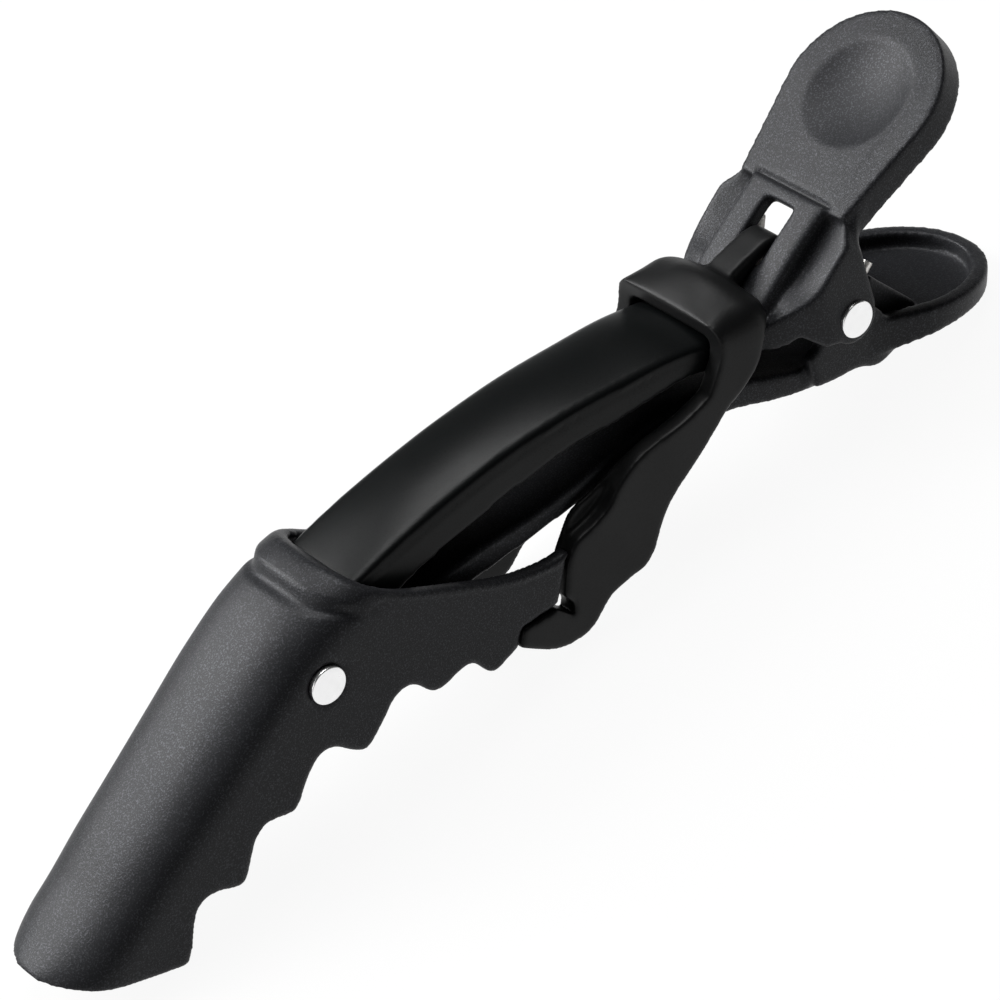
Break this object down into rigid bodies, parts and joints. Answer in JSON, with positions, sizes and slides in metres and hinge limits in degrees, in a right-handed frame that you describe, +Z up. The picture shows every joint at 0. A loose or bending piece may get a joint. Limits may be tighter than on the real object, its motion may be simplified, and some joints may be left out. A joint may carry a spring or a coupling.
{
  "type": "sectioning clip",
  "caption": "Sprung crocodile hair clip with a bowed arm, a hinged front jaw held by a rubber tension strap, a nested toothed lower jaw and two thumb pads.",
  "frame": {"origin": "centre of the closed clip's box, on the table it lies on", "axes": "+X from the nose towards the thumb pads, +Z up from the table, +Y across the clip along both pins"},
  "size_m": [0.1214, 0.0196, 0.0307],
  "materials": {
    "lower_jaw_plastic": "fine grained black nylon",
    "lever_plastic": "grained cheeks and pad, satin smooth arm",
    "front_jaw_plastic": "fine grained black nylon",
    "strap_rubber": "soft smooth black elastomer",
    "rivet_steel": "bright nickel-plated rivet",
    "spring_wire": "plain spring wire"
  },
  "bodies": {
    "lower": {"lower_jaw": "lower_jaw_plastic", "rear_pin": "rivet_steel", "torsion_spring": "spring_wire"},
    "upper": {"upper_lever": "lever_plastic", "tension_strap": "strap_rubber", "front_pin": "rivet_steel"},
    "nose": {"front_jaw": "front_jaw_plastic"}
  },
  "joints": [
    {"name": "lever_hinge", "type": "hinge", "parent": "lower", "child": "upper", "pos_m": [0.03821, 0, 0.0123], "axis": [0, 1, 0], "range_deg": [0, 40], "stiffness_Nm_per_rad": 0.15, "springref_deg": -25.78, "deforming": ["torsion_spring"]},
    {"name": "front_jaw_hinge", "type": "hinge", "parent": "upper", "child": "nose", "pos_m": [-0.02579, 0, 0.0171], "axis": [0, 1, 0], "range_deg": [-14, 0], "deforming": ["tension_strap"]}
  ],
  "couplings": [
    {"joint": "front_jaw_hinge", "follows": "lever_hinge", "ratio": -0.35}
  ]
}
